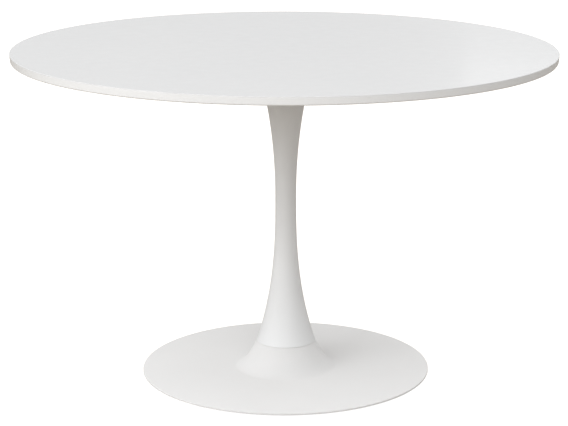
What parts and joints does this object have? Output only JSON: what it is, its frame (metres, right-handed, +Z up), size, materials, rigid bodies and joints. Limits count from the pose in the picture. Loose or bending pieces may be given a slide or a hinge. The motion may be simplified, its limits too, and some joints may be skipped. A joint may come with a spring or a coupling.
{
  "type": "round pedestal table",
  "caption": "Round dining table: a thin white lacquered disc top on a slender trumpet column that flares at both ends, on a thin round base.",
  "frame": {"origin": "on the floor, under the middle of the table", "axes": "+Z up, along the column's axis; +X and +Y are alike, the table is round"},
  "size_m": [1.2, 1.2, 0.74],
  "materials": {
    "top_lacquer": "white satin lacquer on fibreboard",
    "column_paint": "white satin powder coat",
    "base_powder_coat": "white fine-textured powder coat",
    "plate_powder_coat": "white fine-textured powder coat",
    "white_plastic": "white moulded plastic",
    "zinc_plate": "bright zinc-plated steel",
    "pad_felt": "grey needled felt"
  },
  "bodies": {
    "root": {"base_plate": "base_powder_coat", "column": "column_paint", "foot_pad_1": "pad_felt", "foot_pad_2": "pad_felt", "foot_pad_3": "pad_felt", "foot_pad_4": "pad_felt", "foot_pad_5": "pad_felt", "foot_pad_6": "pad_felt", "foot_pad_7": "pad_felt", "foot_pad_8": "pad_felt", "insert_nut_1": "zinc_plate", "insert_nut_2": "zinc_plate", "insert_nut_3": "zinc_plate", "insert_nut_4": "zinc_plate", "insert_nut_5": "zinc_plate", "insert_nut_6": "zinc_plate", "insert_nut_7": "zinc_plate", "insert_nut_8": "zinc_plate", "locating_ring": "zinc_plate", "lower_rod_nut": "zinc_plate", "lower_rod_washer": "zinc_plate", "lower_spring_washer": "zinc_plate", "screw_washer_1": "zinc_plate", "screw_washer_2": "zinc_plate", "screw_washer_3": "zinc_plate", "screw_washer_4": "zinc_plate", "screw_washer_5": "zinc_plate", "screw_washer_6": "zinc_plate", "screw_washer_7": "zinc_plate", "screw_washer_8": "zinc_plate", "seam_ring": "white_plastic", "table_top": "top_lacquer", "tie_rod": "zinc_plate", "top_plate": "plate_powder_coat", "top_screw_1": "zinc_plate", "top_screw_2": "zinc_plate", "top_screw_3": "zinc_plate", "top_screw_4": "zinc_plate", "top_screw_5": "zinc_plate", "top_screw_6": "zinc_plate", "top_screw_7": "zinc_plate", "top_screw_8": "zinc_plate", "upper_rod_nut": "zinc_plate", "upper_rod_washer": "zinc_plate", "upper_spring_washer": "zinc_plate"}
  },
  "joints": []
}
